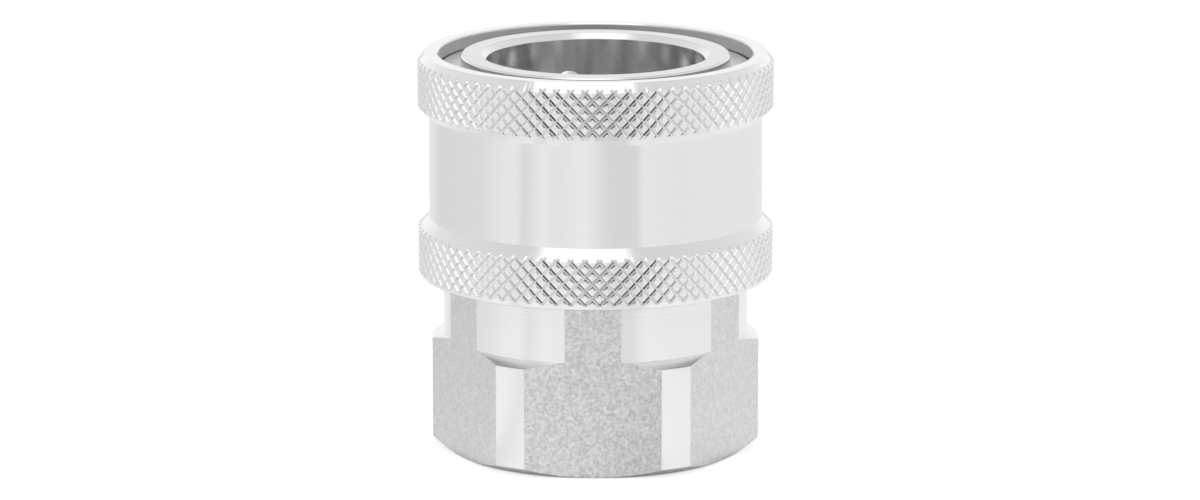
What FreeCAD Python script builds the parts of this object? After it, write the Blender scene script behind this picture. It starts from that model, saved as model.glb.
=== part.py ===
"""Quick disconnect coupler, the socket half, for high-pressure water and hydraulic hoses.

The socket stands on its rear face with the mouth up. A plug is pushed into the mouth, and a ring of
balls drops into the groove behind the plug's collar. The knurled sleeve is held forward by a spring and
keeps the balls in. Pulled back, it brings a cone over the balls, which move out and let the plug go.

Frame: millimetres, +Z along the bore towards the mouth, the origin at the centre of the rear face.
The hexagon has one flat facing -Y.
"""

import math
import os

import FreeCAD
import Part

# ---- body: hexagonal bar, turned ----------------------------------------------------------------
HEX_ACROSS_FLATS = 27.0
HEX_CORNER_DIAMETER = 29.6  # the corners are turned down to this
HEX_LENGTH = 10.5  # from the rear face to the foot of the neck
HEX_CHAMFER_DEG = 30.0  # slope of the turned chamfers at both ends of the hexagon
REAR_FACE_DIAMETER = 27.0
NECK_DIAMETER = 27.44  # just over the flats, so a narrow strip of each flat runs up the neck
NECK_TOP = 17.6  # the spring stands on this step
NOSE_DIAMETER = 24.2
BODY_LENGTH = 35.8
NOSE_EDGE = 0.15

# ---- bores, from the mouth down to the threaded port ---------------------------------------------
MOUTH_DIAMETER = 19.6  # the balls look out of this wall
MOUTH_LIP = 0.5  # 45 degree lead-in at the mouth
MOUTH_DEPTH = 6.6  # from the nose's face to the closer bore that holds the plug's collar
PLUG_BORE_DIAMETER = 19.25  # the plug's 19.05 mm collar sits in this
PLUG_BORE_DEPTH = 10.6
SEAL_BORE_DIAMETER = 17.5  # the plug's 17.3 mm nose runs in this
SEAL_BORE_DEPTH = 20.8
THROAT_DIAMETER = 12.6
THREAD_MAJOR_DIAMETER = 16.66  # G 3/8
THREAD_LENGTH = 11.5
THREAD_LEAD_IN = 0.55
DRILL_POINT_DEG = 118.0
LEAD_IN_DEG = 45.0  # slope of the step that guides the plug's nose

# ---- locking balls --------------------------------------------------------------------------------
BALL_COUNT = 8
BALL_DIAMETER = 3.175  # 1/8 inch
BALL_RING_TURN = 15.5  # degrees from +Y to the first ball
BALL_DEPTH = 4.8  # from the nose's face to the balls' centres
BALL_REACH = 0.72  # how far a locked ball stands into the plug bore
BALL_RETRACTED_MARGIN = 0.05
BALL_POCKET_CLEARANCE = 0.05
POCKET_SEAT_DEG = 25.0  # slope of the pocket's inner seat, which keeps the ball from falling in
POCKET_SEAT_CLEARANCE = 0.02

# ---- retaining ring on the nose -------------------------------------------------------------------
RING_DEPTH = 1.05  # from the nose's face to the ring's front face
RING_THICKNESS = 1.0
RING_GROOVE_DEPTH = 0.75
RING_WIDTH = 2.5
RING_GAP = 3.0
RING_GROOVE_CLEARANCE = 0.05

# ---- sleeve ---------------------------------------------------------------------------------------
SLEEVE_DIAMETER = 32.0  # over the points of the knurled bands
SLEEVE_WAIST_DIAMETER = 30.0
SLEEVE_LENGTH = 20.3
SLEEVE_ABOVE_NOSE = 0.2
SLEEVE_TRAVEL = 3.8
BAND_HEIGHT = 3.9
WAIST_CHAMFER_RISE = 1.0
TOP_BEVEL_WIDTH = 0.6
TOP_BEVEL_HEIGHT = 0.8
FOOT_BEVEL = 0.55
KNURL_COUNT = 78  # diamonds round each band
KNURL_DEPTH = 0.24  # from a diamond's point to where two grooves cross
KNURL_SEAT = 0.05  # how far the turned bands lie under the grooves
SLEEVE_MOUTH_CLEARANCE = 0.2  # between the retaining ring and the sleeve's mouth
SLEEVE_MOUTH_EDGE = 0.15
SLEEVE_STOP_CLEARANCE = 0.05  # between the retaining ring and the sleeve's stop shoulder
LAND_CLEARANCE = 0.15  # between the nose and the sleeve's locking land
LAND_TAIL = 3.0  # from the balls' centres to the land's rear face, which the spring pushes
CAM_CLEARANCE = 0.05  # between the balls and the cone that lets them out
SKIRT_CLEARANCE = 0.13  # between the neck and the sleeve's skirt
SKIRT_EDGE = 0.4

# ---- spring ---------------------------------------------------------------------------------------
SPRING_WIRE = 1.3
SPRING_OPEN_HALF_TURNS = 4  # between the closed turn at each end
SPRING_CLOSED_GAP = 0.05  # between a closed turn and the next
SPRING_GROUND_SHARE = 0.25  # height of the wire's centre over the ground end, in wire diameters
SPRING_END_CLEARANCE = 0.02

# ---- seals ----------------------------------------------------------------------------------------
SEAL_GROOVE_DEPTH = 14.3  # from the nose's face to the groove's front wall
SEAL_GROOVE_CUT = 1.85  # how deep the groove is cut into the seal bore's wall
O_RING_CORD = 2.4
BACKUP_RING_THICKNESS = 1.1
BACKUP_BORE_CLEARANCE = 0.25  # how far the backup ring's bore stands back from the seal bore
SEAL_CLEARANCE = 0.03  # beside each seal, and between a seal and the groove's floor

# ---- worked out from the values above -------------------------------------------------------------
hex_apothem = HEX_ACROSS_FLATS / 2
neck_radius = NECK_DIAMETER / 2
nose_radius = NOSE_DIAMETER / 2
plug_bore_radius = PLUG_BORE_DIAMETER / 2
ball_radius = BALL_DIAMETER / 2
hex_slope = math.tan(math.radians(HEX_CHAMFER_DEG))

ball_height = BODY_LENGTH - BALL_DEPTH
ball_centre_radius = plug_bore_radius - BALL_REACH + ball_radius
ball_travel = BALL_REACH + BALL_RETRACTED_MARGIN

ring_top = BODY_LENGTH - RING_DEPTH
ring_bottom = ring_top - RING_THICKNESS
ring_groove_radius = nose_radius - RING_GROOVE_DEPTH
ring_inner_radius = ring_groove_radius + RING_GROOVE_CLEARANCE
ring_outer_radius = ring_inner_radius + RING_WIDTH

sleeve_top = BODY_LENGTH + SLEEVE_ABOVE_NOSE
sleeve_foot = sleeve_top - SLEEVE_LENGTH
land_radius = nose_radius + LAND_CLEARANCE
land_rear = ball_height - LAND_TAIL
skirt_radius = neck_radius + SKIRT_CLEARANCE
band_radius = SLEEVE_DIAMETER / 2
waist_radius = SLEEVE_WAIST_DIAMETER / 2
groove_floor_radius = band_radius - KNURL_DEPTH

spring_radius = (nose_radius + skirt_radius) / 2
spring_foot = NECK_TOP + SPRING_END_CLEARANCE
spring_head = land_rear - SPRING_END_CLEARANCE

groove_radius = SEAL_BORE_DIAMETER / 2 + SEAL_GROOVE_CUT
groove_top = BODY_LENGTH - SEAL_GROOVE_DEPTH
backup_top = groove_top - SEAL_CLEARANCE
backup_bottom = backup_top - BACKUP_RING_THICKNESS
o_ring_centre_height = backup_bottom - SEAL_CLEARANCE - O_RING_CORD / 2
o_ring_centre_radius = groove_radius - SEAL_CLEARANCE - O_RING_CORD / 2
groove_bottom = o_ring_centre_height - O_RING_CORD / 2 - SEAL_CLEARANCE

AXIS_START = FreeCAD.Vector(0, 0, 0)
UP = FreeCAD.Vector(0, 0, 1)


def turned(outline):
    """The solid that a closed outline of (radius, height) corners sweeps round the Z axis."""
    corners = [FreeCAD.Vector(radius, 0, height) for radius, height in outline]
    face = Part.Face(Part.makePolygon(corners + corners[:1]))
    return face.revolve(AXIS_START, UP, 360)


def turned_blank():
    """The body's outside as the lathe leaves it: chamfered hexagon, neck and nose with its groove."""
    corner_radius = HEX_CORNER_DIAMETER / 2
    rear_radius = REAR_FACE_DIAMETER / 2
    rear_chamfer_top = (corner_radius - rear_radius) * hex_slope
    shoulder_bottom = HEX_LENGTH - (corner_radius - neck_radius) * hex_slope
    return turned([
        (0, 0),
        (rear_radius, 0),
        (corner_radius, rear_chamfer_top),
        (corner_radius, shoulder_bottom),
        (neck_radius, HEX_LENGTH),
        (neck_radius, NECK_TOP),
        (nose_radius, NECK_TOP),
        (nose_radius, ring_bottom - RING_GROOVE_CLEARANCE),
        (ring_groove_radius, ring_bottom - RING_GROOVE_CLEARANCE),
        (ring_groove_radius, ring_top + RING_GROOVE_CLEARANCE),
        (nose_radius, ring_top + RING_GROOVE_CLEARANCE),
        (nose_radius, BODY_LENGTH - NOSE_EDGE),
        (nose_radius - NOSE_EDGE, BODY_LENGTH),
        (0, BODY_LENGTH),
    ])


def hexagonal_bar():
    """The bar that the body is turned from, with a flat towards -Y and corners on the X axis."""
    corner_distance = hex_apothem / math.cos(math.radians(30))
    corners = []
    for side in range(6):
        angle = math.radians(60 * side)
        corners.append(FreeCAD.Vector(
            corner_distance * math.cos(angle), corner_distance * math.sin(angle), 0))
    return Part.Face(Part.makePolygon(corners + corners[:1])).extrude(UP * BODY_LENGTH)


def bores():
    """Everything drilled and bored out of the body along its axis, as one solid."""
    mouth_radius = MOUTH_DIAMETER / 2
    seal_radius = SEAL_BORE_DIAMETER / 2
    throat_radius = THROAT_DIAMETER / 2
    thread_radius = THREAD_MAJOR_DIAMETER / 2
    plug_bore_end = BODY_LENGTH - PLUG_BORE_DEPTH
    lead_in_end = plug_bore_end - (plug_bore_radius - seal_radius) / math.tan(math.radians(LEAD_IN_DEG))
    drill_point = (thread_radius - throat_radius) / math.tan(math.radians(DRILL_POINT_DEG / 2))
    mouth_end = BODY_LENGTH - MOUTH_DEPTH
    return turned([
        (0, 0),
        (thread_radius + THREAD_LEAD_IN, 0),
        (thread_radius, THREAD_LEAD_IN),
        (thread_radius, THREAD_LENGTH),
        (throat_radius, THREAD_LENGTH + drill_point),
        (throat_radius, BODY_LENGTH - SEAL_BORE_DEPTH),
        (seal_radius, BODY_LENGTH - SEAL_BORE_DEPTH),
        (seal_radius, groove_bottom),
        (groove_radius, groove_bottom),
        (groove_radius, groove_top),
        (seal_radius, groove_top),
        (seal_radius, lead_in_end),
        (plug_bore_radius, plug_bore_end),
        (plug_bore_radius, mouth_end - (mouth_radius - plug_bore_radius)),
        (mouth_radius, mouth_end),
        (mouth_radius, BODY_LENGTH - MOUTH_LIP),
        (mouth_radius + MOUTH_LIP, BODY_LENGTH),
        (0, BODY_LENGTH),
    ])


def ball_pocket():
    """The cutter for one ball's pocket: a radial hole along +X that ends in a conical seat inside."""
    slope = math.radians(POCKET_SEAT_DEG)
    pocket_radius = ball_radius + BALL_POCKET_CLEARANCE
    seat_distance = ball_radius + POCKET_SEAT_CLEARANCE
    seat_start = (seat_distance - math.cos(slope) * pocket_radius) / math.sin(slope)
    seat_length = ball_centre_radius - seat_start - plug_bore_radius + ball_radius
    seat_end_radius = pocket_radius - seat_length * math.tan(slope)
    outside = nose_radius + ball_radius
    along_x = FreeCAD.Vector(1, 0, 0)
    seat_at = FreeCAD.Vector(ball_centre_radius - seat_start, 0, ball_height)
    hole = Part.makeCylinder(pocket_radius, outside - seat_at.x, seat_at, along_x)
    seat = Part.makeCone(pocket_radius, seat_end_radius, seat_length, seat_at, along_x * -1)
    return hole.fuse(seat)


def ball_angles():
    """Where the balls stand round the axis, in degrees from +X."""
    first = 90 + BALL_RING_TURN
    return [first + 360 / BALL_COUNT * number for number in range(BALL_COUNT)]


def body():
    """The socket's body: hexagonal bar, turned, bored, and drilled for the balls."""
    shape = turned_blank().common(hexagonal_bar()).cut(bores())
    pocket = ball_pocket()
    for angle in ball_angles():
        turned_pocket = pocket.copy()
        turned_pocket.rotate(AXIS_START, UP, angle)
        shape = shape.cut(turned_pocket)
    return shape.removeSplitter()


def locking_balls():
    """One ball for each pocket, at its locked place, as (name, solid) pairs."""
    balls = []
    for number, angle in enumerate(ball_angles(), start=1):
        ball = Part.makeSphere(ball_radius, FreeCAD.Vector(ball_centre_radius, 0, ball_height))
        ball.rotate(AXIS_START, UP, angle)
        balls.append((f"locking_ball_{number}", ball))
    return balls


def knurled_ring(foot, top, foot_slope, top_slope):
    """One band's knurling, as a ring that stands on the waist's radius.

    Grooves that climb to the left and to the right cross every half pitch. Between every four crossings
    stands a point, so each square from crossing to crossing is folded into two triangles along its
    groove. Past both edges the points fall away at the bevels' slopes, down to the grooves.
    """
    columns = 2 * KNURL_COUNT
    rows = max(2, round((top - foot) / (math.pi * band_radius / KNURL_COUNT)))
    heights = [foot - KNURL_DEPTH * foot_slope]
    heights += [foot + (top - foot) * row / rows for row in range(rows + 1)]
    heights += [top + KNURL_DEPTH * top_slope]
    last_row = len(heights) - 1

    def corner(row, column):
        is_point = (row + column) % 2 == 1 and 0 < row < last_row
        radius = band_radius if is_point else groove_floor_radius
        angle = math.pi * (column % columns) / KNURL_COUNT
        return FreeCAD.Vector(radius * math.cos(angle), radius * math.sin(angle), heights[row])

    faces = []
    for row in range(last_row):
        for column in range(columns):
            square = [corner(row, column), corner(row, column + 1),
                      corner(row + 1, column + 1), corner(row + 1, column)]
            crossing = (row + column) % 2
            a, b, c, d = square[crossing:] + square[:crossing]
            faces.append(Part.Face(Part.makePolygon([a, b, c, a])))
            faces.append(Part.Face(Part.makePolygon([a, c, d, a])))
    for row in (0, last_row):
        rim = [corner(row, column) for column in range(columns)]
        faces.append(Part.Face(Part.makePolygon(rim + rim[:1])))
    knurled_disc = Part.Solid(Part.Shell(faces))
    hole = Part.makeCylinder(waist_radius, heights[-1] - heights[0], UP * heights[0])
    return knurled_disc.cut(hole)


def sleeve():
    """The sliding sleeve: two knurled bands outside; inside, from the mouth down, the recess for the
    retaining ring, the stop shoulder, the cone that lets the balls out, the locking land and the skirt.

    It is turned with its bands just under the knurl's grooves, and the knurling stands on them.
    """
    upper_band_top = sleeve_top - TOP_BEVEL_HEIGHT
    upper_band_foot = upper_band_top - BAND_HEIGHT
    lower_band_foot = sleeve_foot + FOOT_BEVEL
    lower_band_top = lower_band_foot + BAND_HEIGHT
    chamfer_slope = WAIST_CHAMFER_RISE / (band_radius - waist_radius)
    top_slope = TOP_BEVEL_HEIGHT / TOP_BEVEL_WIDTH
    turned_radius = groove_floor_radius - KNURL_SEAT
    under = band_radius - turned_radius

    mouth_radius = ring_outer_radius + SLEEVE_MOUTH_CLEARANCE
    stop_height = ring_bottom - SLEEVE_STOP_CLEARANCE
    cam_slope = ball_travel / SLEEVE_TRAVEL
    cam_reach = (ball_radius + CAM_CLEARANCE) / math.cos(math.atan(cam_slope))
    land_front = ball_height + (land_radius - ball_centre_radius - cam_reach) / cam_slope
    stop_inner_radius = land_radius + cam_slope * (stop_height - land_front)
    plain = turned([
        (skirt_radius + SKIRT_EDGE, sleeve_foot),
        (band_radius - FOOT_BEVEL, sleeve_foot),
        (turned_radius, lower_band_foot - under),
        (turned_radius, lower_band_top + under * chamfer_slope),
        (waist_radius, lower_band_top + WAIST_CHAMFER_RISE),
        (waist_radius, upper_band_foot - WAIST_CHAMFER_RISE),
        (turned_radius, upper_band_foot - under * chamfer_slope),
        (turned_radius, upper_band_top + under * top_slope),
        (band_radius - TOP_BEVEL_WIDTH, sleeve_top),
        (mouth_radius + SLEEVE_MOUTH_EDGE, sleeve_top),
        (mouth_radius, sleeve_top - SLEEVE_MOUTH_EDGE),
        (mouth_radius, stop_height),
        (stop_inner_radius, stop_height),
        (land_radius, land_front),
        (land_radius, land_rear),
        (skirt_radius, land_rear),
        (skirt_radius, sleeve_foot + SKIRT_EDGE),
    ])
    lower_knurl = knurled_ring(lower_band_foot, lower_band_top, 1, chamfer_slope)
    upper_knurl = knurled_ring(upper_band_foot, upper_band_top, chamfer_slope, top_slope)
    return plain.fuse([lower_knurl, upper_knurl])


def retaining_ring():
    """The flat open ring in the nose's groove that stops the sleeve, with its gap towards -Y."""
    ring = turned([
        (ring_inner_radius, ring_bottom),
        (ring_outer_radius, ring_bottom),
        (ring_outer_radius, ring_top),
        (ring_inner_radius, ring_top),
    ])
    gap = Part.makeBox(RING_GAP, ring_outer_radius * 2, RING_THICKNESS * 2)
    gap.translate(FreeCAD.Vector(-RING_GAP / 2, -ring_outer_radius * 2, ring_bottom - RING_THICKNESS / 2))
    return ring.cut(gap)


def half_turn(rise):
    """Half a turn of the spring's wire from +X to -X: an arc of a tilted ring, level at both ends."""
    tilt = math.atan2(rise / 2, spring_radius)
    wire_end = Part.makeCircle(
        SPRING_WIRE / 2, FreeCAD.Vector(spring_radius, 0, 0), FreeCAD.Vector(0, 1, 0))
    ring_axis = FreeCAD.Vector(math.sin(tilt), 0, math.cos(tilt))
    return Part.Face(Part.Wire([wire_end])).revolve(UP * (rise / 2), ring_axis, 180)


def spring():
    """The coil spring, with closed ends ground flat on the neck's step and under the sleeve's land."""
    height = spring_foot + SPRING_GROUND_SHARE * SPRING_WIRE
    head = spring_head - SPRING_GROUND_SHARE * SPRING_WIRE
    closed_rise = (SPRING_WIRE + SPRING_CLOSED_GAP) / 2
    open_rise = (head - height - 4 * closed_rise) / SPRING_OPEN_HALF_TURNS
    rises = [closed_rise] * 2 + [open_rise] * SPRING_OPEN_HALF_TURNS + [closed_rise] * 2
    halves = []
    for number, rise in enumerate(rises):
        half = half_turn(rise)
        half.rotate(AXIS_START, UP, 180 * number)
        half.translate(UP * height)
        halves.append(half)
        height += rise
    coil = halves[0].multiFuse(halves[1:])
    chamber_radius = skirt_radius + SPRING_WIRE
    ground = Part.makeCylinder(chamber_radius, spring_head - spring_foot, UP * spring_foot)
    return coil.common(ground)


def o_ring():
    """The rubber ring that seals on the plug's nose."""
    return Part.makeTorus(o_ring_centre_radius, O_RING_CORD / 2, UP * o_ring_centre_height)


def backup_ring():
    """The stiff ring in front of the O-ring that keeps pressure from pushing it out of its groove."""
    inner = SEAL_BORE_DIAMETER / 2 + BACKUP_BORE_CLEARANCE
    outer = groove_radius - SEAL_CLEARANCE
    return turned([
        (inner, backup_bottom),
        (outer, backup_bottom),
        (outer, backup_top),
        (inner, backup_top),
    ])


def main():
    os.makedirs("parts", exist_ok=True)
    pieces = [
        ("coupler_body", body()),
        ("sleeve", sleeve()),
        ("retaining_ring", retaining_ring()),
        ("spring", spring()),
        ("o_ring", o_ring()),
        ("backup_ring", backup_ring()),
    ]
    pieces.extend(locking_balls())
    for name, shape in pieces:
        shape.exportStep(os.path.join("parts", name + ".step"))
        print(f"{name}: {len(shape.Solids)} solid, {shape.Volume:.1f} mm3, valid {shape.isValid()}")


main()
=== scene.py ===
"""Quick disconnect coupler, the socket half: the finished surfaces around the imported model.

The coupler stands on its rear face with the mouth up, and a flat of the hexagon faces -Y. Lengths in this
script are in millimetres, and a piece's points are turned to metres when its mesh is made.
"""

import math

import bmesh
import bpy
import numpy as np
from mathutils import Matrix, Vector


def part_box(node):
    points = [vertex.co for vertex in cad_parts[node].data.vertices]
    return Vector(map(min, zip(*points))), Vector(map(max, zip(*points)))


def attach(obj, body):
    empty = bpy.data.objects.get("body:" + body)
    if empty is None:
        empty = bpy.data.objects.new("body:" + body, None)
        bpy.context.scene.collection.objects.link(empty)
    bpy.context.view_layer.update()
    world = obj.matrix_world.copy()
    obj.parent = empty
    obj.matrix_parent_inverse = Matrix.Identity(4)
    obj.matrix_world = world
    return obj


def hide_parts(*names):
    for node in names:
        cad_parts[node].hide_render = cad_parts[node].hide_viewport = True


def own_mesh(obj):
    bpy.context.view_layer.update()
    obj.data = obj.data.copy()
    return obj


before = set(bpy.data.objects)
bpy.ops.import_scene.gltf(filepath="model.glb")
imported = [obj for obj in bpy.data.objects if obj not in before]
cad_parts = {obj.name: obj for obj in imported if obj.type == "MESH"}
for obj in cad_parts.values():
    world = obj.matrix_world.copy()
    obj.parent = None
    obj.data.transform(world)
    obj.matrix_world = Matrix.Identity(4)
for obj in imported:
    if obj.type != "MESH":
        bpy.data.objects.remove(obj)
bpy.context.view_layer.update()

# ---- The sleeve ------------------------------------------------------------------------------------
# One turned piece of stainless steel that the fingers pull back. Two bands are knurled with crossed
# rolls, which press V grooves at 45 degrees and leave diamonds with small crowned tops. The waist between
# the bands is finely turned, and the inside is bored.
MM = 0.001  # metres
sleeve_low, sleeve_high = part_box("sleeve")
SLEEVE_FOOT = sleeve_low.z / MM
SLEEVE_TOP = sleeve_high.z / MM
BAND_RADIUS = sleeve_high.x / MM
BAND_HEIGHT = 3.9
WAIST_DEPTH = 1.0
WAIST_CHAMFER = 1.0  # height of the cone between a band and the waist
TOP_BEVEL_WIDTH = 0.6
TOP_BEVEL_HEIGHT = 0.8
FOOT_BEVEL = 0.55
FOOT_KNEE = 0.16  # the rounded foot's middle stands this far in from the band and up from the foot
MOUTH_RADIUS = 14.1
MOUTH_EDGE = 0.15
STOP_HEIGHT = 33.7  # the retaining ring stops the sleeve here
STOP_RADIUS = 12.71
LAND_RADIUS = 12.25  # the land holds the balls in
LAND_FRONT = 31.43
LAND_REAR = 28.0  # the spring pushes here
SKIRT_RADIUS = 13.85
SKIRT_EDGE = 0.4
WAIST_RADIUS = BAND_RADIUS - WAIST_DEPTH
UPPER_BAND_TOP = SLEEVE_TOP - TOP_BEVEL_HEIGHT
UPPER_BAND_FOOT = UPPER_BAND_TOP - BAND_HEIGHT
LOWER_BAND_FOOT = SLEEVE_FOOT + FOOT_BEVEL
LOWER_BAND_TOP = LOWER_BAND_FOOT + BAND_HEIGHT
WAIST_MIDDLE = (LOWER_BAND_TOP + UPPER_BAND_FOOT) / 2

KNURLS_ROUND = 78
KNURLS_UP = 3
KNURL_RISE = BAND_HEIGHT / KNURLS_UP
KNURL_DEPTH = 0.24
KNURL_SAMPLES = 12  # grid steps across a diamond, and up it
RUN_OUT_SAMPLES = 3  # grid steps past a band's edge, where the grooves run out
# How deep the knurl is cut, by the distance from a groove's middle in pitches. The points end the groove's
# flat floor, its steep wall and its soft shoulder, and the last is the top of a diamond.
KNURL_PROFILE = [(0.048, 1.0), (2 / KNURL_SAMPLES, 0.12), (3 / KNURL_SAMPLES, 0.035), (0.5, 0.0)]

SLEEVE_MARKS_PER_MM = 5.0
INSIDE_RADIUS = MOUTH_RADIUS + 0.05  # the bored walls lie within this


def new_piece(name, points, faces, sharp_degrees=34):
    """A mesh object from points in millimetres and faces as rows of point numbers.

    The faces are turned outwards, shading is smooth, and edges sharper than the angle stay crisp.
    """
    mesh = bpy.data.meshes.new(name)
    mesh.from_pydata((points * MM).tolist(), [], faces)
    solid = bmesh.new()
    solid.from_mesh(mesh)
    bmesh.ops.recalc_face_normals(solid, faces=solid.faces)
    solid.to_mesh(mesh)
    solid.free()
    mesh.shade_smooth()
    mesh.set_sharp_from_angle(angle=math.radians(sharp_degrees))
    piece = bpy.data.objects.new(name, mesh)
    bpy.context.scene.collection.objects.link(piece)
    return piece


def grid_faces(rows, columns, rows_close):
    """The cells of a grid of points, as rows of four point numbers. The columns close on themselves.

    If rows_close, the last row joins the first. Otherwise one many-sided face closes each end.
    """
    row = np.arange(rows if rows_close else rows - 1)[:, None]
    column = np.arange(columns)[None, :]
    next_row = (row + 1) % rows
    next_column = (column + 1) % columns
    corners = [row * columns + column, row * columns + next_column,
               next_row * columns + next_column, next_row * columns + column]
    faces = np.stack([np.broadcast_to(c, (row.size, columns)) for c in corners], axis=-1)
    faces = faces.reshape(-1, 4).tolist()
    if not rows_close:
        faces.append(list(range(columns)))
        faces.append(list(range((rows - 1) * columns, rows * columns)))
    return faces


def sleeve_outside(height):
    """The sleeve's outer radius at a height, before knurling: straight lines between its corners."""
    heights = [SLEEVE_FOOT, SLEEVE_FOOT + FOOT_KNEE, LOWER_BAND_FOOT, LOWER_BAND_TOP,
               LOWER_BAND_TOP + WAIST_CHAMFER, UPPER_BAND_FOOT - WAIST_CHAMFER, UPPER_BAND_FOOT,
               UPPER_BAND_TOP, SLEEVE_TOP]
    radii = [BAND_RADIUS - FOOT_BEVEL, BAND_RADIUS - FOOT_KNEE, BAND_RADIUS, BAND_RADIUS,
             WAIST_RADIUS, WAIST_RADIUS, BAND_RADIUS, BAND_RADIUS, BAND_RADIUS - TOP_BEVEL_WIDTH]
    return np.interp(height, heights, radii)


def knurl_cut(angle, height):
    """How deep the knurl is cut, from 0 on a diamond to 1 on a groove's floor.

    Two families of lines climb at 45 degrees, one to the left and one to the right. The distance to the
    nearest line of each, in pitches, gives a groove with a steep wall and a soft shoulder, and the deeper
    of the two grooves counts. Each band's pattern starts from its own top edge.
    """
    round_way = angle * KNURLS_ROUND / (2 * math.pi)
    band_top = np.where(height > WAIST_MIDDLE, UPPER_BAND_TOP, LOWER_BAND_TOP)
    up_way = (height - band_top) / KNURL_RISE
    distances, cuts = np.array(KNURL_PROFILE).T
    cut = 0
    for line in (round_way + up_way, round_way - up_way):
        cut = np.maximum(cut, np.interp(np.abs(line - np.round(line)), distances, cuts))
    return cut


def sleeve_surface():
    """The sleeve as a grid of heights by angles, closed both ways.

    Outside, a point's radius is the plain outline's or the knurl's floor, whichever is less, so that the
    grooves run out over the bevels, except at the foot's rounded edge, which is turned clean after the
    knurling. Inside, it follows the turned outline. Gives the points, and how deep the knurl is cut at each.
    """
    steps_up = KNURLS_UP * KNURL_SAMPLES
    step = np.arange(-RUN_OUT_SAMPLES, steps_up + RUN_OUT_SAMPLES + 1) * KNURL_RISE / KNURL_SAMPLES
    outer_height = np.concatenate([
        [SLEEVE_FOOT, SLEEVE_FOOT + FOOT_KNEE], LOWER_BAND_FOOT + step, [LOWER_BAND_TOP + WAIST_CHAMFER],
        [UPPER_BAND_FOOT - WAIST_CHAMFER], UPPER_BAND_FOOT + step, [SLEEVE_TOP]])
    angle = np.linspace(0, 2 * math.pi, KNURLS_ROUND * KNURL_SAMPLES, endpoint=False)[None, :]
    inner = [(MOUTH_RADIUS + MOUTH_EDGE, SLEEVE_TOP), (MOUTH_RADIUS, SLEEVE_TOP - MOUTH_EDGE),
             (MOUTH_RADIUS, STOP_HEIGHT), (STOP_RADIUS, STOP_HEIGHT), (LAND_RADIUS, LAND_FRONT),
             (LAND_RADIUS, LAND_REAR), (SKIRT_RADIUS, LAND_REAR),
             (SKIRT_RADIUS, SLEEVE_FOOT + SKIRT_EDGE), (SKIRT_RADIUS + SKIRT_EDGE, SLEEVE_FOOT)]
    inner_radius, inner_height = np.array(inner).T
    height = np.concatenate([outer_height, inner_height])[:, None]
    plain = np.concatenate([sleeve_outside(outer_height), inner_radius])[:, None]
    cut = knurl_cut(angle, height)
    knurled_radius = BAND_RADIUS - KNURL_DEPTH * cut
    is_outer = np.arange(len(height))[:, None] < len(outer_height)
    is_knurled = is_outer & (height >= LOWER_BAND_FOOT) & (knurled_radius < plain)
    radius = np.where(is_knurled, knurled_radius, plain)
    depth = np.where(is_knurled, cut, 0)
    points = np.stack([radius * np.cos(angle), radius * np.sin(angle),
                       np.broadcast_to(height, radius.shape)], axis=-1)
    return points, depth


def knurl_faces(points):
    """Two triangles for each cell, cut along the diagonal whose middle stands nearer the true surface."""
    rows, columns = points.shape[:2]
    cells = np.array(grid_faces(rows, columns, rows_close=True))
    corners = points.reshape(-1, 3)[cells]
    middle = corners.mean(axis=1)
    true_radius = BAND_RADIUS - KNURL_DEPTH * knurl_cut(np.arctan2(middle[:, 1], middle[:, 0]), middle[:, 2])
    first = np.hypot(*(corners[:, 0] + corners[:, 2])[:, :2].T / 2)
    second = np.hypot(*(corners[:, 1] + corners[:, 3])[:, :2].T / 2)
    along_first = (np.abs(first - true_radius) <= np.abs(second - true_radius))[:, None]
    one = np.where(along_first, cells[:, [0, 1, 2]], cells[:, [0, 1, 3]])
    other = np.where(along_first, cells[:, [0, 2, 3]], cells[:, [1, 2, 3]])
    return np.concatenate([one, other]).tolist()


def set_inputs(tree, target, inputs):
    """Sets a shader node's inputs. Each is a value, or another node's output socket."""
    for key, value in inputs.items():
        if isinstance(value, bpy.types.NodeSocket):
            tree.links.new(value, target.inputs[key])
        else:
            target.inputs[key].default_value = value


def node(tree, kind, inputs=None, **settings):
    """A new shader node with its settings and inputs."""
    made = tree.nodes.new(kind)
    for name, value in settings.items():
        setattr(made, name, value)
    set_inputs(tree, made, inputs or {})
    return made


def math_node(tree, operation, first, second=0.0):
    """The output of one Math node."""
    return node(tree, "ShaderNodeMath", {0: first, 1: second}, operation=operation).outputs[0]


def mix(tree, share, first, second):
    """A number between two: the first where share is 0, and the second where it is 1."""
    return node(tree, "ShaderNodeMix", {"Factor": share, 2: first, 3: second}).outputs[0]


def mix_colours(tree, share, first, second, blend_type="MIX"):
    """A colour between two: the first where share is 0, and the second where it is 1.

    With blend_type MULTIPLY, it is the two colours' product where share is 1.
    """
    return node(tree, "ShaderNodeMix", {"Factor": share, 6: first, 7: second}, data_type="RGBA",
                blend_type=blend_type).outputs[2]


def noise(tree, place, scale, detail, roughness=0.5):
    """Soft noise round 0.5, with about scale marks in a length of 1 (a metre on object coordinates)."""
    return node(tree, "ShaderNodeTexNoise", {
        "Vector": place, "Scale": scale, "Detail": detail, "Roughness": roughness}).outputs["Fac"]


def new_finish(name):
    """A new material, as (material, node tree, Principled shader, object coordinates)."""
    material = bpy.data.materials.new(name)
    material.use_nodes = True
    tree = material.node_tree
    coords = node(tree, "ShaderNodeTexCoord").outputs["Object"]
    return material, tree, tree.nodes["Principled BSDF"], coords


def axis_distance(tree, coords):
    """How far a point lies from the coupler's axis, in metres."""
    outwards = node(tree, "ShaderNodeVectorMath", {0: coords, 1: (1, 1, 0)}, operation="MULTIPLY")
    return node(tree, "ShaderNodeVectorMath", {0: outwards.outputs[0]}, operation="LENGTH").outputs["Value"]


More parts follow.
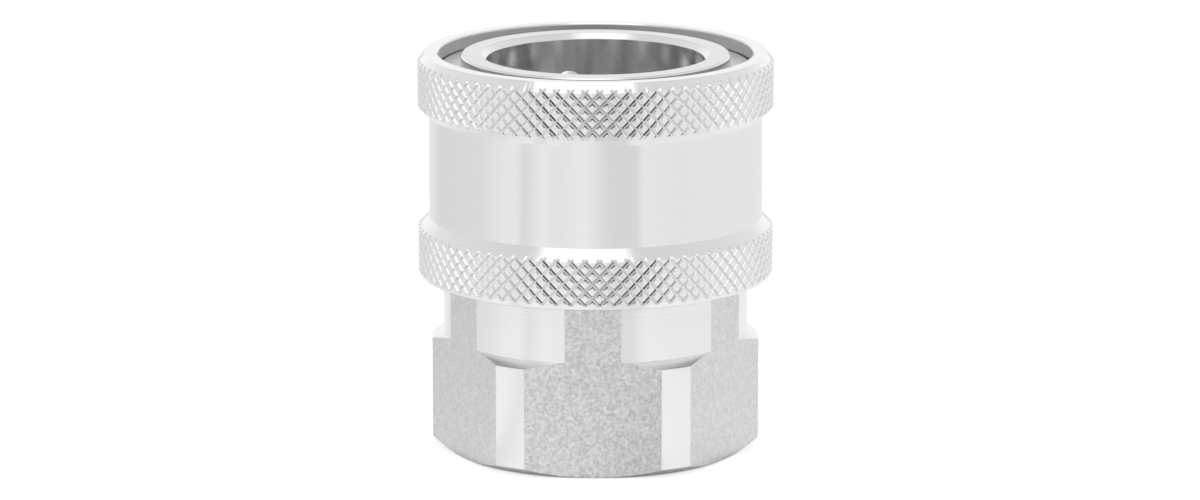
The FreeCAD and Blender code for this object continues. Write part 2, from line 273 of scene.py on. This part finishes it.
def turning_marks(tree, coords, marks_per_mm):
    """Noise in fine rings round the axis, as a lathe leaves them on cylinders, cones and flat faces.

    It varies only with height plus radius, so it steps along a cylinder and outwards over a face.
    """
    split = node(tree, "ShaderNodeSeparateXYZ", {0: coords})
    along = math_node(tree, "ADD", split.outputs["Z"], axis_distance(tree, coords))
    place = node(tree, "ShaderNodeCombineXYZ", {"X": along}).outputs[0]
    return noise(tree, place, marks_per_mm / MM, detail=3.0, roughness=0.6)


def ramp(tree, value, stops):
    """A colour ramp from (position, grey) stops."""
    made = node(tree, "ShaderNodeValToRGB", {"Fac": value})
    elements = made.color_ramp.elements
    while len(elements) < len(stops):
        elements.new(0.5)
    for element, (position, grey) in zip(elements, stops):
        element.position = position
        element.color = (grey, grey, grey, 1)
    return made.outputs["Color"]


def bump(tree, height, depth_mm, strength):
    """The normal of a bumped surface, depth_mm from its lowest to its highest place."""
    return node(tree, "ShaderNodeBump", {
        "Height": height, "Distance": depth_mm * MM, "Strength": strength}).outputs["Normal"]


def sleeve_finish():
    """Turned stainless steel, with painted shade on the walls of the knurl's grooves. The inside is rougher
    and darker: a coarser finish, with painted shade in the recess.
    """
    material, tree, shader, coords = new_finish("turned_knurled_steel")
    rings = turning_marks(tree, coords, SLEEVE_MARKS_PER_MM)
    inside = math_node(tree, "LESS_THAN", axis_distance(tree, coords), INSIDE_RADIUS * MM)
    polished = ramp(tree, rings, [(0.3, 0.92), (0.7, 0.955)])
    # The inside's colour is darker partly for its coarser finish and partly as painted shade in the recess.
    bored_and_shaded = ramp(tree, rings, [(0.3, 0.6), (0.7, 0.72)])
    steel = mix_colours(tree, inside, polished, bored_and_shaded)
    groove = node(tree, "ShaderNodeAttribute", attribute_name="groove").outputs["Fac"]
    # Painted shade in the knurl's grooves: a ramp on how deep the knurl is cut, darkest on the steep walls.
    painted_groove_shade = ramp(tree, groove, [(0.0, 1.0), (0.5, 0.85), (1.0, 0.95)])
    set_inputs(tree, shader, {
        "Base Color": mix_colours(tree, 1.0, steel, painted_groove_shade, "MULTIPLY"),
        "Metallic": 1.0,
        "Roughness": mix(tree, inside, 0.12, 0.45),
        "Normal": bump(tree, rings, depth_mm=0.004, strength=0.35)})
    return material


sleeve_points, sleeve_grooves = sleeve_surface()
sleeve = new_piece("knurled_sleeve", sleeve_points.reshape(-1, 3), knurl_faces(sleeve_points))
groove_depth = sleeve.data.attributes.new("groove", "FLOAT", "POINT")
groove_depth.data.foreach_set("value", sleeve_grooves.astype(np.float32).ravel())
sleeve.data.materials.append(sleeve_finish())
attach(sleeve, "sleeve")
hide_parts("sleeve")

# ---- The body --------------------------------------------------------------------------------------
# Hexagonal stainless bar, turned and bored. The hexagon's flats keep the drawn bar's pickled, mottled
# skin, and a narrow strip of each runs up the neck. The corners, neck, nose and bores are turned bright.
ACROSS_FLATS = 27.0
FLAT_DIRECTIONS = [math.radians(angle) for angle in (30, 90, 150)]
SKIN_REACH = ACROSS_FLATS / 2 - 0.012  # from the axis, just under a flat
BORE_REACH = 9.82  # from the axis, just past the mouth's bore
BORE_FOOT = 25.2
NOSE_FACE = 35.75  # just under the nose's faced end
BODY_MARKS_PER_MM = 5.0
TURNED_RELIEF = 0.1
BORE_RELIEF = 0.33
BLOTCHES_PER_MM = 1.2
BLOTCH_SHARE = 0.3
GRAINS_PER_MM = 3.2
GRAIN_SHARE = 0.7
SIDE_MOTTLE = 0.42
FRONT_MOTTLE = 0.88


def bar_skin(tree, coords):
    """1 on the hexagon's flats and 0 on turned metal: how far the point stands out towards its flat."""
    reach = 0.0
    for direction in FLAT_DIRECTIONS:
        across = node(tree, "ShaderNodeVectorMath", {
            0: coords, 1: (math.cos(direction), math.sin(direction), 0)}, operation="DOT_PRODUCT")
        reach = math_node(tree, "MAXIMUM", math_node(tree, "ABSOLUTE", across.outputs["Value"]), reach)
    return math_node(tree, "GREATER_THAN", reach, SKIN_REACH * MM)


def bar_mottle(tree, coords):
    """Two sizes of noise added up, round 0.5. It is stronger on the two flats that face along Y."""
    blotches = noise(tree, coords, BLOTCHES_PER_MM / MM, detail=4.0, roughness=0.6)
    grains = noise(tree, coords, GRAINS_PER_MM / MM, detail=2.0)
    mottle = math_node(tree, "ADD", math_node(tree, "MULTIPLY", blotches, BLOTCH_SHARE),
                       math_node(tree, "MULTIPLY", grains, GRAIN_SHARE))
    along_y = math_node(tree, "ABSOLUTE", node(tree, "ShaderNodeSeparateXYZ", {0: coords}).outputs["Y"])
    on_y_flat = math_node(tree, "GREATER_THAN", along_y, SKIN_REACH * MM)
    strength = mix(tree, on_y_flat, SIDE_MOTTLE, FRONT_MOTTLE)
    spread = math_node(tree, "MULTIPLY", math_node(tree, "SUBTRACT", mottle, 0.5), strength)
    return math_node(tree, "ADD", spread, 0.5)


def bore_painted_reflections(tree, coords):
    """A grey that changes only with the bearing from the axis: painted streaks that stand for reflections
    down the bore.

    It is noise on a ring of radius 1, so that it meets itself all round.
    """
    split = node(tree, "ShaderNodeSeparateXYZ", {0: coords})
    bearing = math_node(tree, "ARCTAN2", split.outputs["X"], split.outputs["Y"])
    ring = node(tree, "ShaderNodeCombineXYZ", {
        "X": math_node(tree, "SINE", bearing), "Y": math_node(tree, "COSINE", bearing)}).outputs[0]
    streaks = noise(tree, ring, scale=3.0, detail=2.0, roughness=0.6)
    return ramp(tree, streaks, [(0.38, 0.66), (0.5, 0.9), (0.6, 1.0)])


def body_finish():
    """Bright turned steel with fine rings, and pickled bar skin on the flats.

    The nose's faced end is a little duller, and the mouth's bore has painted streaks that stand for
    reflections, and deeper rings.
    """
    material, tree, shader, coords = new_finish("hexagon_bar_steel")
    skin = bar_skin(tree, coords)
    mottle = bar_mottle(tree, coords)
    rings = turning_marks(tree, coords, BODY_MARKS_PER_MM)
    height = node(tree, "ShaderNodeSeparateXYZ", {0: coords}).outputs["Z"]
    on_face = math_node(tree, "GREATER_THAN", height, NOSE_FACE * MM)
    near_axis = math_node(tree, "LESS_THAN", axis_distance(tree, coords), BORE_REACH * MM)
    in_bore = math_node(tree, "MULTIPLY", near_axis, math_node(tree, "GREATER_THAN", height, BORE_FOOT * MM))
    bright = ramp(tree, rings, [(0.3, 0.9), (0.7, 0.97)])
    faced = ramp(tree, rings, [(0.3, 0.76), (0.7, 0.83)])
    pickled = ramp(tree, mottle, [(0.36, 0.58), (0.5, 0.75), (0.64, 0.91)])
    # In the bore the colour carries painted streaks that stand for reflections.
    turned = mix_colours(tree, in_bore, mix_colours(tree, on_face, bright, faced), bore_painted_reflections(tree, coords))
    ring_relief = math_node(tree, "MULTIPLY", rings, mix(tree, in_bore, TURNED_RELIEF, BORE_RELIEF))
    set_inputs(tree, shader, {
        "Base Color": mix_colours(tree, skin, turned, pickled),
        "Metallic": 1.0,
        "Roughness": mix(tree, skin, 0.2, 0.3),
        "Normal": bump(tree, mix(tree, skin, ring_relief, mottle), depth_mm=0.03, strength=0.5)})
    return material


body_material = body_finish()
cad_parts["coupler_body"].material_slots[0].material = body_material

# ---- The thread in the rear port -------------------------------------------------------------------
# A right-handed G 3/8 pipe thread, cut in the body's port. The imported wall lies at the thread's root, and
# the ridge stands inwards from it with rounded crests, fading out at both ends as a tapped thread does.
THREAD_ROOT_RADIUS = 8.33
THREAD_PITCH = 1.337
THREAD_DEPTH = 0.856
THREAD_START = 0.95
THREAD_END = 10.7
THREAD_SEAT = 0.02  # how far the ridge is sunk into the wall
THREAD_FILL = 0.98  # the ridge's width as a share of the pitch
THREAD_SAMPLES = 90  # to a turn
RIDGE_SAMPLES = 13


def thread_surface():
    """The ridge as a closed section carried along a helix.

    Across the section, the ridge's height is half of one plus a cosine, which is near the rounded form
    of a pipe thread. Along the helix, the height fades in over the first turn and out over the last, by a
    smooth step. Two points sunk into the wall close the section.
    """
    turns = (THREAD_END - THREAD_START) / THREAD_PITCH
    turn = np.linspace(0, turns, int(turns * THREAD_SAMPLES))[:, None]
    across = np.linspace(-0.5, 0.5, RIDGE_SAMPLES)[None, :]
    fade = np.clip(np.minimum(turn, turns - turn), 0.0, 1.0)
    fade = fade * fade * (3 - 2 * fade)
    ridge = THREAD_DEPTH * fade * (0.5 + 0.5 * np.cos(2 * math.pi * across))
    radius = np.concatenate([THREAD_ROOT_RADIUS - ridge,
                             np.full((len(turn), 2), THREAD_ROOT_RADIUS + THREAD_SEAT)], axis=1)
    width = np.concatenate([across[0], [0.5, -0.5]])[None, :] * THREAD_PITCH * THREAD_FILL
    angle = 2 * math.pi * turn
    height = THREAD_START + THREAD_PITCH * turn + width
    return np.stack([radius * np.cos(angle), radius * np.sin(angle), height], axis=-1)


thread_points = thread_surface()
thread = new_piece("port_thread", thread_points.reshape(-1, 3),
                   grid_faces(*thread_points.shape[:2], rows_close=False), sharp_degrees=60)
thread.data.materials.append(body_material)
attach(thread, "body")

# ---- The retaining ring ----------------------------------------------------------------------------
# A flat open ring of spring steel strip, snapped into the nose's groove. Its front face shows between the
# nose and the sleeve.
RING_MARKS_PER_MM = 7.0


def ring_finish():
    """Ground strip steel, with a fine grain along the ring."""
    material, tree, shader, coords = new_finish("ground_strip_steel")
    grain = turning_marks(tree, coords, RING_MARKS_PER_MM)
    set_inputs(tree, shader, {
        "Base Color": ramp(tree, grain, [(0.25, 0.72), (0.75, 0.84)]),
        "Metallic": 1.0,
        "Roughness": 0.3,
        "Normal": bump(tree, grain, depth_mm=0.004, strength=0.4)})
    return material


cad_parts["retaining_ring"].material_slots[0].material = ring_finish()

# ---- The spring ------------------------------------------------------------------------------------
# A coil of drawn stainless wire between the neck's step and the sleeve's land. Each end is wound closed and
# ground flat. The real spring shortens by the sleeve's travel when the sleeve is pulled back; this piece has
# one length.
spring_low, spring_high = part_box("spring")
SPRING_FOOT = spring_low.z / MM
SPRING_HEAD = spring_high.z / MM
SPRING_WIRE_RADIUS = 0.65
SPRING_RADIUS = 12.975
SPRING_TURNS = 4.0
SPRING_GROUND = 0.325  # how far the wire's middle stands from a ground end
CLOSED_PITCH = 1.35
COIL_SAMPLES = 480
WIRE_SAMPLES = 20
SOFTENING = 31  # samples that the climb is averaged over


def spring_surface():
    """A round section carried along a coil, as turns by angles round the wire.

    The coil climbs slowly over its first and last turn and faster between them, with a running mean where
    the climb changes. Its ends are cut level, as by grinding.
    """
    turn = np.linspace(0, SPRING_TURNS, COIL_SAMPLES)[:, None]
    bottom = SPRING_FOOT + SPRING_GROUND
    top = SPRING_HEAD - SPRING_GROUND
    knots = [0, 1, SPRING_TURNS - 1, SPRING_TURNS]
    heights = [bottom, bottom + CLOSED_PITCH, top - CLOSED_PITCH, top]
    climb = np.interp(turn[:, 0], knots, heights)
    padded = np.pad(climb, SOFTENING // 2, mode="reflect", reflect_type="odd")
    climb = np.convolve(padded, np.ones(SOFTENING) / SOFTENING, mode="valid")[:, None]
    around = np.linspace(0, 2 * math.pi, WIRE_SAMPLES, endpoint=False)[None, :]
    radius = SPRING_RADIUS + SPRING_WIRE_RADIUS * np.cos(around)
    height = np.clip(climb + SPRING_WIRE_RADIUS * np.sin(around), SPRING_FOOT, SPRING_HEAD)
    angle = 2 * math.pi * turn
    return np.stack([radius * np.cos(angle), radius * np.sin(angle), height], axis=-1)


def wire_finish():
    """Drawn wire: smooth, a little dull."""
    material, tree, shader, coords = new_finish("drawn_spring_wire")
    streaks = noise(tree, coords, scale=1.2 / MM, detail=3.0)
    set_inputs(tree, shader, {
        "Base Color": ramp(tree, streaks, [(0.3, 0.6), (0.7, 0.72)]),
        "Metallic": 1.0,
        "Roughness": 0.34,
        "Normal": bump(tree, streaks, depth_mm=0.006, strength=0.3)})
    return material


spring_points = spring_surface()
spring = new_piece("coil_spring", spring_points.reshape(-1, 3),
                   grid_faces(*spring_points.shape[:2], rows_close=False))
spring.data.materials.append(wire_finish())
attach(spring, "body")
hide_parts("spring")
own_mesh(spring)

# ---- The seals -------------------------------------------------------------------------------------
# A moulded nitrile O-ring seals on the plug's nose. A cut ring of white fluoropolymer stands in front of it
# in the same groove, and keeps the pressure from pushing the rubber out.
SEAL_SAMPLES = 160
CORD_SAMPLES = 32
BACKUP_WIDTH = 1.57
BACKUP_EDGE = 0.08
BACKUP_SAMPLES = 16


def seal_surface(section_radius, section_height):
    """A closed section, as arrays of radius and height, turned once round the axis."""
    angle = np.linspace(0, 2 * math.pi, SEAL_SAMPLES, endpoint=False)[:, None]
    radius = section_radius[None, :]
    height = np.broadcast_to(section_height[None, :], (SEAL_SAMPLES, len(section_height)))
    return np.stack([radius * np.cos(angle), radius * np.sin(angle), height], axis=-1)


def seal_finish(name, dark, light, roughness):
    """Moulded rubber or plastic, with a faint grain."""
    material, tree, shader, coords = new_finish(name)
    grain = noise(tree, coords, scale=4.0 / MM, detail=4.0)
    set_inputs(tree, shader, {
        "Base Color": ramp(tree, grain, [(0.3, dark), (0.7, light)]),
        "Metallic": 0.0,
        "Roughness": roughness,
        "Normal": bump(tree, grain, depth_mm=0.008, strength=0.4)})
    return material


def seal_piece(name, node_name, section_radius, section_height, material):
    """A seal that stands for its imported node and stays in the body."""
    points = seal_surface(section_radius, section_height)
    piece = new_piece(name, points.reshape(-1, 3), grid_faces(*points.shape[:2], rows_close=True))
    piece.data.materials.append(material)
    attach(piece, "body")
    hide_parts(node_name)


cord_low, cord_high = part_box("o_ring")
cord_radius = (cord_high.z - cord_low.z) / MM / 2
cord_angle = np.linspace(0, 2 * math.pi, CORD_SAMPLES, endpoint=False)
seal_piece("nitrile_o_ring", "o_ring",
           cord_high.x / MM - cord_radius + cord_radius * np.cos(cord_angle),
           (cord_high.z + cord_low.z) / MM / 2 + cord_radius * np.sin(cord_angle),
           seal_finish("nitrile_rubber", 0.018, 0.035, 0.45))

# The backup ring's section is a rectangle with rounded corners: each point of a small circle is moved out to
# the corner that it faces.
backup_low, backup_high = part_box("backup_ring")
corner_angle = np.linspace(0, 2 * math.pi, BACKUP_SAMPLES, endpoint=False) + math.pi / BACKUP_SAMPLES
edge_side = np.cos(corner_angle)
edge_up = np.sin(corner_angle)
backup_middle = backup_high.x / MM - BACKUP_WIDTH / 2
backup_half_height = (backup_high.z - backup_low.z) / MM / 2
seal_piece("fluoropolymer_backup_ring", "backup_ring",
           backup_middle + np.sign(edge_side) * (BACKUP_WIDTH / 2 - BACKUP_EDGE) + BACKUP_EDGE * edge_side,
           (backup_high.z + backup_low.z) / MM / 2
           + np.sign(edge_up) * (backup_half_height - BACKUP_EDGE) + BACKUP_EDGE * edge_up,
           seal_finish("white_fluoropolymer", 0.78, 0.86, 0.5))

# ---- The locking balls -----------------------------------------------------------------------------
# Eight hardened, polished 1/8 inch bearing balls, each in a pocket drilled through the nose. The sleeve's
# land holds them in, and its cone lets them out when it is pulled back.
BALL_COUNT = 8
LATITUDES = 33
LONGITUDES = 64
POLE_GAP = 0.01  # radians from a pole to its nearest ring


def ball_finish():
    """Polished bearing steel, with faint wipe marks."""
    material, tree, shader, coords = new_finish("polished_ball_steel")
    marks = noise(tree, coords, scale=2.0 / MM, detail=2.0)
    set_inputs(tree, shader, {
        "Base Color": ramp(tree, marks, [(0.3, 0.84), (0.7, 0.9)]),
        "Metallic": 1.0,
        "Roughness": 0.1,
        "Normal": bump(tree, marks, depth_mm=0.002, strength=0.2)})
    return material


def ball_surface(centre, radius):
    """A sphere as rings of latitude. The first and last ring are so small that a face closes each."""
    latitude = np.linspace(-0.5 * math.pi + POLE_GAP, 0.5 * math.pi - POLE_GAP, LATITUDES)[:, None]
    longitude = np.linspace(0, 2 * math.pi, LONGITUDES, endpoint=False)[None, :]
    unit = np.stack([np.cos(latitude) * np.cos(longitude), np.cos(latitude) * np.sin(longitude),
                     np.broadcast_to(np.sin(latitude), (LATITUDES, LONGITUDES))], axis=-1)
    return centre + radius * unit


ball_material = ball_finish()
for number in range(1, BALL_COUNT + 1):
    ball_low, ball_high = (np.array(corner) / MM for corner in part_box(f"locking_ball_{number}"))
    ball_points = ball_surface((ball_low + ball_high) / 2, (ball_high - ball_low).max() / 2)
    ball = new_piece(f"polished_ball_{number}", ball_points.reshape(-1, 3),
                     grid_faces(*ball_points.shape[:2], rows_close=False))
    ball.data.materials.append(ball_material)
    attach(ball, f"ball_{number}")
    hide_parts(f"locking_ball_{number}")

# ---- The floor -------------------------------------------------------------------------------------
# A wide sheet of white paper, which runs out of view on every side and keeps the coupler's soft shadow.
FLOOR_HALF = 3000.0
FLOOR_DROP = 0.02  # the paper lies this far under the rear face
CAMERA_GLOW = 0.45
GLASS_GLOW = 0.35
NEAR_GLOW = 0.14  # added for the steel within NEAR_START of the axis, and gone at NEAR_END
NEAR_START = 15.0
NEAR_END = 105.0
CONTACT_START = 13.9  # the steel sees no glow nearer the axis than this, and all of it from CONTACT_END
CONTACT_END = 14.6
ROOM_TURN = 1.0  # degrees
# The glow that the steel sees, by the bearing from behind the coupler (0), past its left side (0.25), its
# front (0.5) and its right side (0.75), to behind it again (1).
PAPER_GLOW = [(0.0, 0.18), (0.1, 0.1), (0.135, 0.01), (0.27, 0.03), (0.335, 0.13), (0.357, 0.13),
              (0.366, 0.0), (0.403, 0.16), (0.43, 0.1), (0.48, 0.17), (0.525, 0.01), (0.575, 0.0),
              (0.585, 0.14), (0.65, 0.1), (1.0, 0.13)]


def paper_finish():
    """White paper. To the camera and in the steel it looks lighter than its light alone makes it.

    The glow that the steel sees depends on the bearing from the coupler, because the room is a little
    darker in front of the coupler than beside and behind it. It grows towards the coupler's foot, but
    fades out where the hexagon's turned corners stand over the paper. The room stands turned a little
    round from the hexagon.
    """
    material, tree, shader, coords = new_finish("white_paper")
    fibres = noise(tree, coords, scale=0.6 / MM, detail=4.0)
    split = node(tree, "ShaderNodeSeparateXYZ", {0: coords})
    towards_front = math_node(tree, "MULTIPLY", split.outputs["Y"], -1.0)
    bearing = math_node(tree, "ARCTAN2", split.outputs["X"], towards_front)
    share = math_node(tree, "ADD", math_node(tree, "DIVIDE", bearing, 2 * math.pi), 0.5 - ROOM_TURN / 360)
    distance = axis_distance(tree, coords)
    near = node(tree, "ShaderNodeMapRange", {
        "Value": distance, "From Min": NEAR_START * MM, "From Max": NEAR_END * MM,
        "To Min": NEAR_GLOW, "To Max": 0.0}).outputs[0]
    contact = node(tree, "ShaderNodeMapRange", {
        "Value": distance, "From Min": CONTACT_START * MM, "From Max": CONTACT_END * MM}).outputs[0]
    steel_glow = math_node(tree, "ADD", ramp(tree, share, PAPER_GLOW), near)
    steel_glow = math_node(tree, "MULTIPLY", steel_glow, contact)
    path = node(tree, "ShaderNodeLightPath")
    to_camera = math_node(tree, "MULTIPLY", path.outputs["Is Camera Ray"], CAMERA_GLOW)
    to_steel = math_node(tree, "MULTIPLY", path.outputs["Is Glossy Ray"], steel_glow)
    to_glass = math_node(tree, "MULTIPLY", path.outputs["Is Transmission Ray"], GLASS_GLOW)
    set_inputs(tree, shader, {
        "Base Color": ramp(tree, fibres, [(0.3, 0.89), (0.7, 0.91)]),
        "Metallic": 0.0,
        "Roughness": 0.9,
        "Emission Color": (1, 1, 1, 1),
        "Emission Strength": math_node(tree, "MAXIMUM", math_node(tree, "MAXIMUM", to_camera, to_steel),
                                       to_glass)})
    return material


floor_corners = np.array([(-1, -1, 0), (1, -1, 0), (1, 1, 0), (-1, 1, 0)])
floor_points = floor_corners * FLOOR_HALF - (0, 0, FLOOR_DROP)
floor = new_piece("paper_floor", floor_points, [[0, 1, 2, 3]])
floor.data.materials.append(paper_finish())

# ---- The light -------------------------------------------------------------------------------------
# A pale room, darker overhead and in front, with a soft box high in front. The steel sees only the room.
# Four large soft lamps light the paper and the seals: in front, behind and at each side.
ROOM_LEVEL = 0.5  # the room's even light on dull surfaces
COUPLER_MIDDLE = (0, 0, 18)


def room_patch(room, direction, centre, edge_cosine, core_cosine, edge_value, core_value):
    """A round patch of the room's walls: its core has one value, and it fades to another at its edge."""
    nearness = node(room, "ShaderNodeVectorMath", {0: direction, 1: centre}, operation="DOT_PRODUCT")
    return node(room, "ShaderNodeMapRange", {
        "Value": nearness.outputs["Value"], "From Min": edge_cosine, "From Max": core_cosine,
        "To Min": edge_value, "To Max": core_value}, interpolation_type="SMOOTHSTEP").outputs[0]


def room_light(room):
    """Gives the world's light its strength: even for dull surfaces, and the room's look in the steel."""
    path = node(room, "ShaderNodeLightPath")
    seen = math_node(room, "MAXIMUM", path.outputs["Is Camera Ray"], path.outputs["Is Glossy Ray"])
    seen = math_node(room, "MAXIMUM", seen, path.outputs["Is Transmission Ray"])
    direction = node(room, "ShaderNodeTexCoord").outputs["Generated"]
    up = node(room, "ShaderNodeSeparateXYZ", {0: direction}).outputs["Z"]
    ceiling = ramp(room, up, [(0.0, 1.0), (0.2, 0.95), (0.4, 0.8), (0.9, 0.7)])
    dark_front = room_patch(room, direction, centre=(0.017, -0.985, 0.17), edge_cosine=0.86,
                            core_cosine=0.97, edge_value=1.0, core_value=0.04)
    soft_box = room_patch(room, direction, centre=(-0.093, -0.422, 0.9), edge_cosine=0.85,
                          core_cosine=0.94, edge_value=0.0, core_value=1.2)
    glow = math_node(room, "MAXIMUM", math_node(room, "MULTIPLY", ceiling, dark_front), soft_box)
    set_inputs(room, room.nodes["Background"], {
        "Color": (1, 1, 1, 1),
        "Strength": mix(room, seen, ROOM_LEVEL, glow)})


def point_at(holder, place_mm, target_mm):
    """Puts a lamp or camera at a place and turns it to look at a target, with its top up."""
    place = np.array(place_mm, dtype=float) * MM
    away = place - np.array(target_mm, dtype=float) * MM
    tilt = math.atan2(math.hypot(away[0], away[1]), away[2])
    turn = math.atan2(away[0], -away[1])
    holder.location = place
    holder.rotation_euler = (tilt, 0, turn)


def soft_lamp(name, place_mm, side_mm, watts):
    """A square soft lamp that faces the coupler's middle. The steel doesn't see it."""
    lamp = bpy.data.lights.new(name, "AREA")
    lamp.shape = "SQUARE"
    lamp.size = side_mm * MM
    lamp.energy = watts
    holder = bpy.data.objects.new(name, lamp)
    holder.visible_glossy = False
    bpy.context.scene.collection.objects.link(holder)
    point_at(holder, place_mm, COUPLER_MIDDLE)


world = bpy.data.worlds.new("pale_room")
bpy.context.scene.world = world
world.use_nodes = True
room_light(world.node_tree)
soft_lamp("lamp_front", (0, -230, 560), side_mm=320, watts=0.32)
soft_lamp("lamp_behind", (0, 420, 620), side_mm=500, watts=0.72)
soft_lamp("lamp_left", (-600, -150, 350), side_mm=400, watts=0.65)
soft_lamp("lamp_right", (600, -100, 350), side_mm=400, watts=0.65)

# ---- The camera ------------------------------------------------------------------------------------
# A long lens a little above the mouth, looking at the middle of the coupler. One flat of the hexagon is
# nearly square on.
CAMERA_PLACE = (8.5, -487.4, 126.4)
CAMERA_TARGET = (0, 0, 18.4)

camera_data = bpy.data.cameras.new("camera")
camera_data.lens = 165.8
camera_data.sensor_width = 36.0
camera_data.shift_x = 0.0037
camera_data.shift_y = -0.0061
camera_data.clip_end = 20
camera = bpy.data.objects.new("camera", camera_data)
bpy.context.scene.collection.objects.link(camera)
point_at(camera, CAMERA_PLACE, CAMERA_TARGET)
bpy.context.scene.camera = camera
bpy.context.scene.view_settings.view_transform = "Standard"
